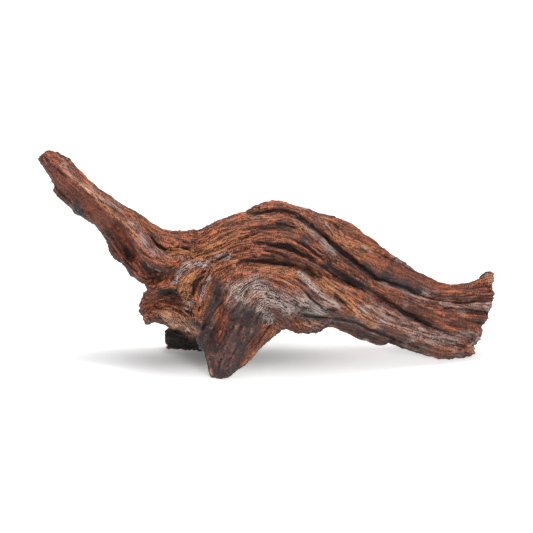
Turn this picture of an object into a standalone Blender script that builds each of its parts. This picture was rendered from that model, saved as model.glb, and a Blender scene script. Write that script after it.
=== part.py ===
"""Aquarium driftwood: a gnarled root that stands on three feet.

The root grew as a bundle of fused strands. A limb rises to the left, a burl hangs below it like a
jaw, one leg comes down in front and a root behind, and the strands run over a hump to a flared,
broken end on the right. Each strand is a loft along its own spine. The strands are fused, furrowed,
weathered and cut flat where they touch the floor, and the whole is then parted at its main forks.

Units are metres, +Z is up, +X runs to the flared end, and -Y faces the front.
"""

import math

import bmesh
import bpy
import numpy as np
from mathutils import Matrix, Vector, noise

# Driving dimensions
LENGTH = 0.400  # from the limb's tip to the flared end
UNIT = LENGTH / 402  # the stations span 402 of their millimetres

# The front view that the stations are given in, seen through a long lens from a little above
VIEW_PIXELS = 533
VIEW_LENS = 85 / 36  # focal length over the width of the picture
VIEW_HEIGHT = math.radians(14)
VIEW_DISTANCE = 1111 * UNIT
VIEW_TARGET = Vector((-5.8, 0, 89.9)) * UNIT

# Loft and fusing
RING_SIDES = 14
RING_STEP = 5 * UNIT
VOXEL = 1.8 * UNIT
SMOOTH_PASSES = 2
FILLET = 1.6 * UNIT  # crevices between strands that are narrower than twice this are filled
LUMP_DEPTH = 1.4 * UNIT
LUMP_SPACING = 17 * UNIT
TRIANGLES = 8050
FORK_GAP = 0.0003  # clearance between the pieces that meet at a fork

WOOD_COLOUR = (0.115, 0.045, 0.024, 1.0)
WOOD_ROUGHNESS = 0.6

# A station is (column, row, depth, half height, half depth). Column, row and half height are pixels
# of the front view, and the two depths are millimetres, from the middle plane towards the back.
STRANDS = {
    "limb_core": (
        (41, 153, -12, 6, 6),
        (46, 158, -12, 9, 8),
        (56, 168, -11, 12, 11),
        (66, 178, -9, 13, 12),
        (78, 191, -8, 13, 13),
        (92, 203, -6, 12, 13),
        (107, 214, -4, 12, 14),
        (124, 231, -2, 15, 17),
        (141, 246, 1, 20, 24),
        (160, 258, 4, 26, 30),
        (185, 264, 6, 30, 34),
    ),
    "limb_top": (
        (51, 155, -2, 6, 7),
        (66, 165, -3, 6, 8),
        (81, 180, -3, 6, 8),
        (96, 195, -3, 6, 9),
        (113, 206, -2, 6, 10),
        (132, 220, 0, 7, 11),
        (150, 234, 2, 8, 12),
        (168, 240, 4, 9, 14),
        (190, 241, 4, 9, 16),
        (212, 236, 2, 10, 15),
    ),
    "limb_front": (
        (56, 166, -14, 5, 6),
        (70, 177, -18, 5, 6),
        (84, 188, -18, 5, 6),
        (100, 201, -17, 5, 7),
        (118, 217, -17, 6, 8),
        (134, 234, -20, 7, 8),
        (147, 252, -26, 7, 9),
        (162, 264, -30, 8, 10),
        (182, 266, -31, 8, 10),
    ),
    "limb_under": (
        (58, 185, -10, 5, 7),
        (69, 199, -10, 6, 8),
        (82, 210, -8, 5, 8),
        (98, 219, -8, 6, 8),
        (112, 236, -9, 7, 10),
        (121, 250, -10, 9, 12),
        (135, 263, -12, 10, 13),
        (150, 275, -14, 10, 14),
        (168, 284, -14, 10, 14),
    ),
    "limb_stub": (
        (69, 196, -16, 5, 6),
        (75, 205, -18, 4, 5),
        (81, 212, -18, 3, 3),
        (84, 217, -18, 2, 2),
    ),
    "limb_rear": (
        (60, 172, 6, 7, 6),
        (80, 192, 8, 7, 7),
        (102, 210, 12, 8, 8),
        (124, 230, 18, 10, 9),
        (146, 246, 24, 12, 11),
        (172, 256, 28, 14, 12),
    ),
    "trunk_core": (
        (152, 264, 4, 22, 26),
        (178, 268, 5, 30, 34),
        (208, 272, 6, 40, 38),
        (245, 270, 7, 47, 36),
        (290, 268, 8, 47, 35),
        (335, 276, 10, 41, 31),
        (375, 295, 16, 34, 26),
        (415, 314, 22, 29, 21),
        (450, 320, 25, 28, 18),
        (478, 318, 26, 25, 15),
    ),
    "crest": (
        (200, 238, -8, 9, 12),
        (213, 233, -8, 12, 13),
        (230, 228, -6, 10, 13),
        (248, 219, -4, 9, 13),
        (264, 212, -2, 8, 13),
        (278, 208, 0, 7, 13),
        (292, 212, 4, 6, 12),
        (305, 219, 6, 7, 12),
        (320, 230, 7, 7, 12),
        (336, 241, 8, 7, 12),
        (352, 251, 10, 7, 12),
        (372, 265, 14, 8, 12),
        (394, 277, 16, 8, 12),
        (420, 288, 18, 8, 11),
        (448, 294, 20, 7, 10),
        (472, 294, 22, 6, 10),
        (493, 291, 22, 6, 9),
    ),
    "rear_crest": (
        (208, 252, 22, 8, 12),
        (240, 236, 24, 8, 13),
        (272, 221, 24, 9, 13),
        (300, 218, 26, 10, 13),
        (322, 224, 28, 9, 13),
        (342, 230, 28, 9, 13),
        (362, 245, 29, 9, 13),
        (382, 260, 30, 9, 13),
        (404, 274, 32, 9, 12),
        (430, 287, 34, 7, 11),
        (458, 292, 36, 6, 10),
        (484, 285, 34, 7, 9),
    ),
    "horn": (
        (462, 291, 28, 6, 10),
        (478, 287, 27, 6, 10),
        (487, 280, 26, 6, 9),
        (492, 274, 26, 4, 7),
    ),
    "middle_upper": (
        (208, 256, -18, 7, 10),
        (226, 243, -18, 7, 11),
        (246, 231, -17, 7, 11),
        (266, 222, -15, 7, 11),
        (286, 223, -12, 7, 11),
        (306, 233, -9, 7, 11),
        (326, 248, -6, 7, 11),
        (346, 263, -3, 6, 11),
        (366, 277, 2, 6, 11),
        (388, 288, 6, 6, 10),
        (410, 296, 10, 6, 10),
        (434, 303, 12, 4, 9),
        (462, 306, 14, 4, 9),
        (491, 304, 16, 4, 8),
    ),
    "middle_lower": (
        (214, 270, -26, 7, 9),
        (232, 253, -27, 7, 10),
        (252, 242, -26, 7, 10),
        (274, 239, -24, 7, 10),
        (294, 243, -21, 7, 10),
        (314, 255, -17, 7, 10),
        (334, 269, -13, 7, 10),
        (354, 281, -9, 6, 10),
        (376, 292, -4, 6, 10),
        (398, 302, 1, 7, 10),
        (420, 312, 6, 6, 10),
        (444, 316, 9, 6, 9),
        (468, 317, 12, 6, 9),
        (487, 317, 15, 5, 8),
    ),
    "inner": (
        (222, 282, -33, 7, 9),
        (238, 266, -35, 6, 9),
        (256, 255, -35, 6, 9),
        (276, 254, -33, 6, 9),
        (296, 258, -30, 5, 9),
        (314, 266, -26, 5, 9),
        (330, 278, -22, 4, 8),
        (346, 290, -18, 4, 8),
    ),
    "fan_lower": (
        (396, 318, 0, 8, 10),
        (418, 324, 4, 8, 10),
        (440, 328, 8, 8, 10),
        (462, 330, 12, 8, 9),
        (481, 330, 15, 8, 9),
    ),
    "belly": (
        (228, 300, -34, 22, 16),
        (250, 292, -38, 26, 18),
        (276, 292, -40, 27, 18),
        (302, 295, -36, 23, 18),
        (326, 301, -30, 18, 17),
        (350, 306, -23, 17, 16),
        (374, 316, -15, 15, 16),
        (398, 327, -6, 14, 15),
        (424, 339, 4, 14, 15),
        (448, 346, 14, 12, 15),
        (472, 345, 20, 9, 13),
    ),
    "belly_lip": (
        (280, 314, -28, 10, 12),
        (300, 322, -26, 9, 11),
        (314, 325, -22, 7, 10),
        (328, 320, -18, 6, 9),
        (344, 322, -12, 8, 10),
        (366, 331, -2, 9, 11),
        (392, 336, 8, 8, 11),
        (420, 346, 18, 7, 11),
        (448, 350, 28, 7, 12),
        (468, 348, 30, 8, 11),
    ),
    "rear_upper": (
        (190, 258, 22, 8, 10),
        (220, 246, 30, 11, 12),
        (250, 236, 36, 12, 13),
        (285, 236, 38, 9, 12),
        (315, 248, 37, 8, 11),
        (345, 262, 39, 10, 13),
        (375, 279, 40, 8, 12),
        (405, 293, 40, 8, 11),
        (440, 303, 40, 8, 10),
        (480, 303, 37, 6, 9),
    ),
    "rear_middle": (
        (190, 286, 24, 10, 11),
        (225, 270, 34, 13, 13),
        (255, 262, 40, 14, 13),
        (290, 262, 44, 12, 13),
        (322, 272, 42, 9, 12),
        (354, 288, 40, 12, 12),
        (388, 303, 42, 9, 12),
        (424, 318, 41, 10, 11),
        (470, 322, 38, 8, 9),
    ),
    "rear_belly": (
        (205, 306, 26, 15, 14),
        (235, 296, 34, 13, 14),
        (265, 290, 40, 11, 13),
        (300, 292, 40, 12, 13),
        (334, 300, 40, 14, 13),
        (368, 314, 41, 12, 12),
        (404, 329, 41, 11, 12),
        (440, 338, 39, 10, 12),
        (470, 336, 36, 9, 10),
    ),
    "leg_core": (
        (255, 292, -28, 30, 20),
        (246, 314, -30, 30, 19),
        (240, 332, -31, 26, 17),
        (234, 346, -33, 20, 15),
        (227, 358, -34, 14, 13),
        (221, 367, -35, 10, 10),
        (217, 374, -35, 8, 8),
        (216, 379, -35, 7, 7),
    ),
    "leg_left": (
        (222, 288, -33, 8, 9),
        (212, 308, -37, 8, 9),
        (207, 326, -37, 7, 8),
        (206, 342, -36, 6, 8),
        (210, 357, -36, 5, 7),
        (212, 366, -36, 5, 6),
        (213, 372, -36, 3, 5),
    ),
    "leg_right": (
        (294, 308, -30, 10, 12),
        (278, 319, -32, 9, 11),
        (264, 333, -33, 8, 10),
        (252, 346, -34, 7, 9),
        (240, 359, -35, 6, 8),
        (231, 368, -35, 4, 6),
    ),
    "burl_core": (
        (210, 304, -10, 28, 30),
        (190, 303, -12, 24, 29),
        (172, 302, -14, 20, 26),
        (157, 303, -14, 16, 20),
        (147, 304, -15, 12, 14),
    ),
    "burl_brow": (
        (208, 276, -31, 8, 9),
        (188, 281, -36, 7, 9),
        (170, 286, -37, 7, 8),
        (155, 292, -33, 7, 8),
        (146, 302, -27, 6, 8),
        (145, 312, -24, 5, 7),
    ),
    "burl_chin": (
        (208, 322, -34, 12, 12),
        (190, 318, -38, 11, 11),
        (173, 312, -37, 9, 10),
        (160, 310, -32, 8, 9),
        (151, 316, -28, 5, 6),
    ),
    "burl_eye": (
        (214, 266, -33, 5, 6),
        (196, 273, -40, 5, 6),
        (183, 283, -44, 6, 7),
        (184, 296, -44, 6, 7),
        (196, 300, -42, 5, 6),
    ),
    "rear_root": (
        (228, 300, 20, 22, 18),
        (216, 318, 28, 21, 18),
        (207, 331, 36, 18, 16),
        (205, 341, 41, 14, 13),
        (207, 348, 43, 9, 10),
        (208, 354, 43, 8, 9),
    ),
    "rear_root_toe": (
        (207, 330, 34, 14, 13),
        (192, 336, 38, 12, 12),
        (177, 339, 41, 10, 10),
        (165, 340, 42, 8, 7),
    ),
    "cheek": (
        (236, 278, -20, 28, 18),
        (212, 284, -22, 30, 19),
        (190, 288, -24, 28, 19),
        (172, 294, -22, 20, 17),
        (158, 300, -20, 14, 14),
    ),
    "shoulder": (
        (196, 262, -12, 18, 20),
        (222, 258, -12, 24, 20),
        (250, 256, -14, 26, 20),
        (285, 256, -14, 26, 18),
        (320, 266, -10, 22, 16),
    ),
    "saddle": (
        (208, 248, 10, 9, 14),
        (234, 237, 12, 11, 14),
        (262, 223, 14, 12, 12),
        (292, 222, 16, 10, 12),
        (322, 234, 18, 9, 12),
        (350, 250, 20, 8, 12),
    ),
    "rear_sweep": (
        (176, 262, 24, 8, 9),
        (208, 276, 36, 9, 10),
        (240, 286, 44, 8, 10),
        (275, 300, 45, 8, 9),
        (310, 306, 43, 7, 9),
        (345, 312, 41, 8, 9),
        (380, 322, 41, 8, 9),
    ),
}

# A furrow is (half width in pixels, depth in millimetres, its course in the front view). The rear
# ones are cut into the back of the wood, behind their course.
FRONT_FURROWS = {
    "below_inner": (
        2.2,
        6.8,
        ((236, 265), (247, 258), (265, 259), (280, 260), (292, 262), (305, 268), (318, 277)),
    ),
    "above_inner": (
        2.0,
        5.2,
        ((278, 246), (297, 250), (313, 260), (332, 275), (357, 288), (391, 306)),
    ),
    "above_fan": (2.0, 4.5, ((391, 306), (407, 315), (432, 326), (452, 332), (478, 340))),
    "below_crest": (
        2.4,
        7.5,
        ((266, 213), (286, 212), (298, 217), (310, 224), (321, 233), (331, 244), (341, 251), (363, 269)),
    ),
    "along_crest": (
        2.0,
        5.2,
        ((363, 269), (384, 281), (411, 292), (438, 300), (462, 301), (493, 297)),
    ),
    "fan_middle": (1.8, 4.5, ((420, 305), (442, 307), (465, 311), (490, 313))),
    "fan_fine": (1.6, 3.0, ((466, 320), (475, 322), (488, 324))),
    "below_belly": (2.2, 6.0, ((318, 315), (342, 318), (362, 324), (383, 333), (402, 343))),
    "hump_crack": (1.6, 4.5, ((268, 227), (282, 229), (294, 233))),
    "behind_crest": (2.0, 5.2, ((292, 204), (311, 216), (338, 235), (367, 250), (393, 260))),
    "limb_hollow": (5.0, 7.5, ((116, 226), (122, 236), (126, 246), (130, 256))),
    "limb_seam": (1.8, 3.8, ((72, 184), (88, 196), (104, 210), (122, 226))),
    "limb_top_seam": (1.6, 3.0, ((112, 212), (130, 226), (146, 242), (160, 252))),
    "crotch": (2.4, 6.8, ((150, 242), (160, 250), (170, 252), (182, 248))),
    "jaw_brow": (2.0, 4.5, ((148, 290), (158, 285), (172, 278), (180, 268))),
    "mouth": (2.2, 7.5, ((150, 304), (158, 297), (168, 294), (178, 297))),
    "eye_left": (2.0, 5.2, ((184, 268), (178, 280), (180, 292), (188, 299))),
    "eye_right": (2.4, 6.8, ((204, 268), (200, 280), (197, 292), (196, 299))),
    "above_eye": (2.0, 5.2, ((176, 262), (190, 258), (204, 255), (216, 262))),
    "beside_leg": (2.6, 5.2, ((230, 276), (222, 290), (214, 308), (206, 326))),
}

REAR_FURROWS = {
    "rear_high": (
        2.2,
        6.0,
        ((216, 262), (246, 251), (280, 249), (312, 257), (345, 273), (378, 291), (410, 302)),
    ),
    "rear_middle": (
        2.4,
        6.0,
        ((240, 277), (272, 275), (302, 280), (332, 288), (362, 299), (396, 315), (430, 327)),
    ),
    "rear_low": (2.2, 5.0, ((228, 313), (256, 303), (290, 303), (322, 312))),
    "rear_end": (1.8, 4.0, ((404, 283), (432, 295), (460, 298), (486, 294))),
    "rear_fan": (1.8, 4.0, ((430, 311), (458, 314), (484, 313))),
    "rear_limb": (2.0, 3.5, ((76, 190), (100, 212), (124, 236), (150, 254))),
}

# A fork is (middle of the cut, direction of the branch, breadth across it in the front view,
# breadth in depth, reach), in millimetres. The branches are taken off in this order.
FORKS = {
    "rear_root": ((-71, 44, 34), (-0.10, 0.05, -1), 100, 64, 60),
    "front_leg": ((-25, -36, 41), (-0.15, -0.05, -1), 84, 60, 70),
    "burl": ((-80, -10, 48), (-1, 0, -0.06), 66, 110, 70),
    "left_limb": ((-99, 0, 94), (-0.936, 0, 0.351), 170, 120, 160),
    "flared_end": ((111, 20, 50), (0.95, 0, -0.30), 150, 130, 130),
}


def eye_and_axes():
    """Where the front view is seen from, and its directions across, up and away."""
    away = Vector((0, math.cos(VIEW_HEIGHT), -math.sin(VIEW_HEIGHT)))
    up = Vector((0, math.sin(VIEW_HEIGHT), math.cos(VIEW_HEIGHT)))
    return VIEW_TARGET - away * VIEW_DISTANCE, Vector((1, 0, 0)), up, away


def place_seen_at(column, row, depth):
    """The place that shows at a column and row, at its depth, and the size of a pixel there."""
    eye, across, up, away = eye_and_axes()
    focal_pixels = VIEW_PIXELS * VIEW_LENS
    ray = away + (
        across * (column - VIEW_PIXELS / 2) + up * (VIEW_PIXELS / 2 - row)
    ) / focal_pixels
    reach = (depth - eye.y) / ray.y
    return eye + ray * reach, reach / focal_pixels


def columns_and_rows(places):
    """Where an array of places shows in the front view."""
    eye, across, up, away = (np.array(vector) for vector in eye_and_axes())
    reach = (places - eye) @ away
    scale = VIEW_PIXELS * VIEW_LENS / reach
    columns = VIEW_PIXELS / 2 + (places - eye) @ across * scale
    rows = VIEW_PIXELS / 2 - (places - eye) @ up * scale
    return np.stack((columns, rows), axis=1)


def between(before, start, end, after, share):
    """A point of the smooth curve that runs through start and end, at this share of the way."""
    squared, cubed = share**2, share**3
    return 0.5 * (
        2 * start
        + (end - before) * share
        + (2 * before - 5 * start + 4 * end - after) * squared
        + (3 * start - before - 3 * end + after) * cubed
    )


def smooth_spine(stations):
    """Closely spaced (place, half height, half depth) along the curve through the stations."""
    places = []
    breadths = []
    for column, row, depth, half_height, half_depth in stations:
        place, pixel = place_seen_at(column, row, depth * UNIT)
        places.append(place)
        breadths.append(Vector((half_height * pixel + FILLET, half_depth * UNIT + FILLET)))
    spine = []
    for index in range(len(stations) - 1):
        around = [max(index - 1, 0), index, index + 1, min(index + 2, len(stations) - 1)]
        steps = max(2, round((places[index + 1] - places[index]).length / RING_STEP))
        for step in range(steps):
            share = step / steps
            place = between(*(places[i] for i in around), share)
            breadth = between(*(breadths[i] for i in around), share)
            spine.append((place, *breadth))
    spine.append((places[-1], *breadths[-1]))
    return spine


def ring_matrix(place, along, half_height, half_depth):
    """Places a unit circle square to the strand, with its second axis as near depth as it goes."""
    depth_axis = (Vector((0, 1, 0)) - along * along.y).normalized()
    height_axis = depth_axis.cross(along)
    turn = Matrix((height_axis, depth_axis, along)).transposed().to_4x4()
    return Matrix.Translation(place) @ turn @ Matrix.Diagonal((half_height, half_depth, 1, 1))


def add_strand(mesh, stations):
    """Lofts one strand from ring to ring and closes both of its ends."""
    spine = smooth_spine(stations)
    rings = []
    for index, (place, half_height, half_depth) in enumerate(spine):
        before = spine[max(index - 1, 0)][0]
        after = spine[min(index + 1, len(spine) - 1)][0]
        made = bmesh.ops.create_circle(
            mesh,
            segments=RING_SIDES,
            radius=1,
            cap_ends=index in (0, len(spine) - 1),
            matrix=ring_matrix(place, (after - before).normalized(), half_height, half_depth),
        )
        corners = set(made["verts"])
        rings.append({edge for vert in corners for edge in vert.link_edges})
    for ring, following in zip(rings, rings[1:]):
        bmesh.ops.bridge_loops(mesh, edges=list(ring | following))


def applied(obj, name):
    """A mesh object of what the object's modifiers give. The object itself is removed."""
    graph = bpy.context.evaluated_depsgraph_get()
    mesh = bpy.data.meshes.new_from_object(obj.evaluated_get(graph))
    bpy.data.objects.remove(obj)
    return shown(name, mesh)


def shown(name, mesh):
    """Puts a mesh in the driftwood's collection as an object of that name."""
    obj = bpy.data.objects.new(name, mesh)
    bpy.data.collections["driftwood"].objects.link(obj)
    return obj


def fused_strands():
    """All strands in one closed skin. They are lofted too thick by the fillet, to close crevices."""
    mesh = bmesh.new()
    for stations in STRANDS.values():
        add_strand(mesh, stations)
    bmesh.ops.recalc_face_normals(mesh, faces=mesh.faces)
    loose = bpy.data.meshes.new("strands")
    mesh.to_mesh(loose)
    mesh.free()
    body = shown("strands", loose)
    fuse = body.modifiers.new("fuse", "REMESH")
    fuse.mode = "VOXEL"
    fuse.voxel_size = VOXEL
    soften = body.modifiers.new("soften", "SMOOTH")
    soften.iterations = SMOOTH_PASSES
    return applied(body, "fused")


def nearness(points, course, half_width):
    """How near each point of the view lies to a course: 1 on it, falling off to 0 beside it."""
    nearest = np.full(len(points), np.inf)
    for start, end in zip(course, course[1:]):
        start, run = np.array(start, float), np.subtract(end, start)
        share = np.clip((points - start) @ run / (run @ run), 0, 1)
        beside = np.linalg.norm(points - start - share[:, None] * run, axis=1)
        nearest = np.minimum(nearest, beside)
    return np.exp(-((nearest / half_width) ** 2))


def furrow_depths(places, facing, furrows):
    """How deep the furrows of one side are at each place, given how squarely it faces that side."""
    seen = columns_and_rows(places)
    depths = np.zeros(len(places))
    for half_width, depth, course in furrows.values():
        depths = np.maximum(depths, nearness(seen, course, half_width) * depth * UNIT)
    return depths * np.clip(facing * 2.5 - 0.3, 0, 1)


def lump_height(place):
    """How far the weathered surface stands out at a place: broad lumps with finer ones on them."""
    broad = noise.noise(place / LUMP_SPACING)
    fine = noise.noise(place / LUMP_SPACING * 2.3 + Vector((5, 2, 9)))
    return (broad + 0.5 * fine) * LUMP_DEPTH


def weathered(body):
    """Takes the fillet off the skin, cuts furrows, raises lumps and thins the triangles."""
    mesh = bmesh.new()
    mesh.from_mesh(body.data)
    mesh.normal_update()
    places = np.array([vert.co for vert in mesh.verts])
    normals = np.array([vert.normal for vert in mesh.verts])
    away = eye_and_axes()[3]
    front = furrow_depths(places, -(normals @ np.array(away)), FRONT_FURROWS)
    rear = furrow_depths(places, normals @ np.array(away), REAR_FURROWS)
    for vert, cut_depth in zip(mesh.verts, front - rear):
        vert.co += vert.normal * (lump_height(vert.co) - FILLET) + away * cut_depth
    mesh.to_mesh(body.data)
    faces = len(mesh.faces)
    mesh.free()
    thin = body.modifiers.new("thin", "DECIMATE")
    thin.ratio = TRIANGLES / (2 * faces)
    return applied(body, "weathered")


def stand_on_floor(body):
    """Cuts the feet flat at the floor and brings the middle of the base to the origin."""
    mesh = bmesh.new()
    mesh.from_mesh(body.data)
    whole = [*mesh.verts, *mesh.edges, *mesh.faces]
    bmesh.ops.bisect_plane(
        mesh, geom=whole, plane_co=(0, 0, 0), plane_no=(0, 0, -1), clear_outer=True
    )
    open_edges = [edge for edge in mesh.edges if edge.is_boundary]
    bmesh.ops.holes_fill(mesh, edges=open_edges)
    bmesh.ops.triangulate(mesh, faces=mesh.faces)
    bmesh.ops.recalc_face_normals(mesh, faces=mesh.faces)
    places = np.array([vert.co for vert in mesh.verts])
    middle = (places.min(axis=0) + places.max(axis=0)) / 2
    bmesh.ops.translate(mesh, verts=mesh.verts, vec=(-middle[0], -middle[1], 0))
    mesh.to_mesh(body.data)
    mesh.free()


def fork_block(name, fork, gap):
    """The block that takes in one branch, from the cut outwards. The gap makes it larger all round."""
    middle, along, breadth, depth, reach = fork
    along = Vector(along).normalized()
    depth_axis = (Vector((0, 1, 0)) - along * along.y).normalized()
    turn = Matrix((depth_axis.cross(along), depth_axis, along)).transposed().to_4x4()
    size = Vector((breadth, depth, reach)) * UNIT
    centre = Vector(middle) * UNIT + along * size.z / 2
    grown = [side + 2 * gap for side in size]
    mesh = bmesh.new()
    bmesh.ops.create_cube(mesh, size=1, matrix=Matrix.Diagonal((*grown, 1)))
    block = bpy.data.objects.new(name, bpy.data.meshes.new(name))
    mesh.to_mesh(block.data)
    mesh.free()
    block.matrix_world = Matrix.Translation(centre) @ turn
    block.hide_render = True
    block.display_type = "WIRE"
    bpy.data.collections["cutters"].objects.link(block)
    return block


def cut(body, block, operation):
    """The body's mesh inside the block, or what is left outside it, as a mesh of its own."""
    cutting = body.modifiers.new("cut", "BOOLEAN")
    cutting.operation = operation
    cutting.object = block
    graph = bpy.context.evaluated_depsgraph_get()
    mesh = bpy.data.meshes.new_from_object(body.evaluated_get(graph))
    body.modifiers.remove(cutting)
    return mesh


def part_at_forks(body):
    """Takes each branch off the body at its fork. What is left is the trunk."""
    pieces = []
    for name, fork in FORKS.items():
        inside = fork_block(name + "_block", fork, 0)
        outside = fork_block(name + "_clearance", fork, FORK_GAP)
        pieces.append(shown(name, cut(body, inside, "INTERSECT")))
        body.data = cut(body, outside, "DIFFERENCE")
    body.name = "trunk"
    return [body, *pieces]


def wood_material(name):
    """Dark, red-brown root wood, weathered to a dull satin."""
    material = bpy.data.materials.new(name + "_wood")
    material.use_nodes = True
    shader = material.node_tree.nodes["Principled BSDF"]
    shader.inputs["Base Color"].default_value = WOOD_COLOUR
    shader.inputs["Roughness"].default_value = WOOD_ROUGHNESS
    shader.inputs["Metallic"].default_value = 0
    return material


def build():
    """Models the driftwood and leaves one object for each piece between the forks."""
    for obj in list(bpy.data.objects):
        bpy.data.objects.remove(obj)
    for name in ("driftwood", "cutters"):
        group = bpy.data.collections.get(name) or bpy.data.collections.new(name)
        if group.name not in bpy.context.scene.collection.children:
            bpy.context.scene.collection.children.link(group)
    body = weathered(fused_strands())
    stand_on_floor(body)
    for piece in part_at_forks(body):
        piece.data.materials.clear()
        piece.data.materials.append(wood_material(piece.name))
        piece.data.shade_smooth()


if __name__ == "__main__":
    build()
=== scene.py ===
"""Aquarium driftwood, dressed: one grown skin of root wood over the frame, parted at its main forks.

The skin starts from the frame's own solids. They are fused and softened, then the strands' furrows
and ridges are cut where the front view shows them, and the grain is drawn along the way that the
wood grew. Units are metres and places are in the frame, with +Z up and -Y towards the front.
"""

import math

import bmesh
import bpy
import numpy as np
from mathutils import Matrix, Vector
from mathutils.bvhtree import BVHTree


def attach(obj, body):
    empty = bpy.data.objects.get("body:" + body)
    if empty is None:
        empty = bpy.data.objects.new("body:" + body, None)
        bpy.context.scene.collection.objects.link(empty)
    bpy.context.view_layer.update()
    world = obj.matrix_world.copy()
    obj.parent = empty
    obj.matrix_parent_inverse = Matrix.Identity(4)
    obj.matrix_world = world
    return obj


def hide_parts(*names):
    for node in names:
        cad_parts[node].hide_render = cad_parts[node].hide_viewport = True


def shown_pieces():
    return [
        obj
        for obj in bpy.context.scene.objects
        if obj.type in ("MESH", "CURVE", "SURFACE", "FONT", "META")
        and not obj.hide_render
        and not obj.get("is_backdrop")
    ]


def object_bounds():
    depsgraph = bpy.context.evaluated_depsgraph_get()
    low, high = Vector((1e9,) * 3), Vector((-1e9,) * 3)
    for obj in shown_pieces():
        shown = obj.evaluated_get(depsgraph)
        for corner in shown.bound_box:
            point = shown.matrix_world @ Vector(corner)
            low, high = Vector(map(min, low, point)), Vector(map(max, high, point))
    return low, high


bl_info = {
    "name": "Aquarium driftwood",
    "version": (1, 0, 0),
    "blender": (4, 5, 0),
    "location": "3D View > Sidebar > Driftwood",
    "description": "Grows and finishes a gnarled piece of root driftwood on its frame",
    "category": "Object",
}

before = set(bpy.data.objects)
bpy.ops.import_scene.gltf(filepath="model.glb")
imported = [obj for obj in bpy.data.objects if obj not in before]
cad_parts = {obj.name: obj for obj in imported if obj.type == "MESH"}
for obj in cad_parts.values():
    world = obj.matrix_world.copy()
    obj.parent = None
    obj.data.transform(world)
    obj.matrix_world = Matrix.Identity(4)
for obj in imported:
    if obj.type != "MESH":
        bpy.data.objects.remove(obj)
CAD_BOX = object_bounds()
LENGTH = CAD_BOX[1].x - CAD_BOX[0].x
MM = LENGTH / 400  # one millimetre on a root of the usual 400 mm

# The front view: the photograph's frame, its long lens and where it looks from
VIEW_PIXELS = 533
VIEW_LENS = 85.0
VIEW_SENSOR = 36.0
VIEW_HEIGHT = math.radians(14)
VIEW_DISTANCE = 1105.5 * MM
VIEW_TARGET = Vector((-5.8, 0, 89.5)) * MM

# A course is (half width in pixels, height in millimetres, its columns and rows in the front view).
# Furrows have a negative height and ridges a positive one.
LIMB_COURSES = {
    "limb_ridge": (
        1.8, 1.3, ((58, 172), (80, 188), (102, 207), (122, 221), (134, 236), (146, 250), (158, 259)),
    ),
    "limb_thread": (1.2, -1.3, ((70, 172), (84, 185), (100, 200), (112, 207), (126, 219))),
    "limb_second_thread": (1.1, -1.2, ((104, 202), (120, 214), (134, 228), (142, 238))),
    "limb_hollow": (3.6, -2.4, ((124, 244), (128, 252), (131, 261))),
    "limb_low_seam": (1.2, -1.6, ((104, 226), (110, 235), (117, 244), (123, 253))),
    "limb_joint": (4.0, -1.8, ((146, 264), (155, 275))),
    "crotch": (1.6, -3.2, ((146, 231), (152, 239), (158, 246), (163, 249), (170, 251))),
    "neck_crack": (1.2, -2.0, ((158, 264), (166, 267), (178, 266))),
    "neck_ridge": (1.5, 1.2, ((140, 257), (150, 260), (160, 265))),
    "saddle_crack": (1.3, -1.8, ((177, 243), (185, 248), (194, 250))),
    "saddle_furrow": (1.4, -1.8, ((198, 257), (212, 251), (226, 243), (238, 235))),
    "saddle_thread": (1.2, -1.5, ((222, 251), (234, 247), (242, 242))),
}
HUMP_COURSES = {
    "below_crest": (
        2.3, -3.0, ((246, 214), (258, 213), (269, 211), (280, 210), (291, 213), (301, 218), (311, 226)),
    ),
    "below_crest_run": (
        2.6, -3.6, ((306, 222), (321, 234), (330, 242), (339, 249), (350, 256), (360, 264)),
    ),
    "along_crest": (
        2.1, -3.2, ((355, 261), (366, 270), (375, 277), (385, 281), (398, 284), (410, 290), (423, 297)),
    ),
    "along_crest_end": (1.2, -2.0, ((416, 294), (435, 301), (454, 302), (473, 302), (500, 301))),
    "rear_crest": (
        1.8, 1.6, ((320, 216), (328, 226), (335, 236), (346, 243), (360, 247), (376, 252), (394, 259)),
    ),
    "behind_crest": (2.2, -2.0, ((330, 221), (345, 233), (358, 241), (374, 249))),
    "crest_flank": (1.6, 1.2, ((300, 222), (312, 232), (324, 244), (336, 255), (346, 262))),
    "hump_crack": (1.3, -2.6, ((272, 223), (284, 224), (300, 228))),
    "hump_thread": (1.1, -1.4, ((258, 218), (282, 217), (300, 222))),
    "hump_low_thread": (
        1.2, -1.6, ((232, 243), (246, 237), (262, 233), (282, 234), (298, 240), (312, 250)),
    ),
    "above_inner": (
        1.9, -3.2, ((250, 243), (264, 244), (277, 245), (289, 247), (297, 252), (307, 256), (318, 262)),
    ),
    "below_inner": (
        2.1, -3.4, ((236, 264), (246, 260), (254, 260), (269, 260), (277, 262), (289, 264), (298, 266)),
    ),
    "below_inner_run": (1.4, -2.2, ((292, 264), (306, 269), (316, 275), (326, 282))),
    "inner_crack": (1.4, -2.4, ((260, 251), (269, 252), (277, 253), (284, 256), (294, 260))),
    "valley": (4.4, -2.4, ((322, 263), (333, 270), (345, 277), (358, 283), (368, 288))),
    "valley_furrow": (1.3, -2.6, ((318, 264), (330, 273), (343, 281), (356, 286), (366, 291))),
    "valley_low_thread": (1.2, 1.4, ((316, 268), (328, 277), (341, 286), (354, 292), (366, 297))),
    "valley_thread": (1.2, 1.2, ((326, 258), (340, 265), (356, 271), (372, 281))),
}
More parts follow.
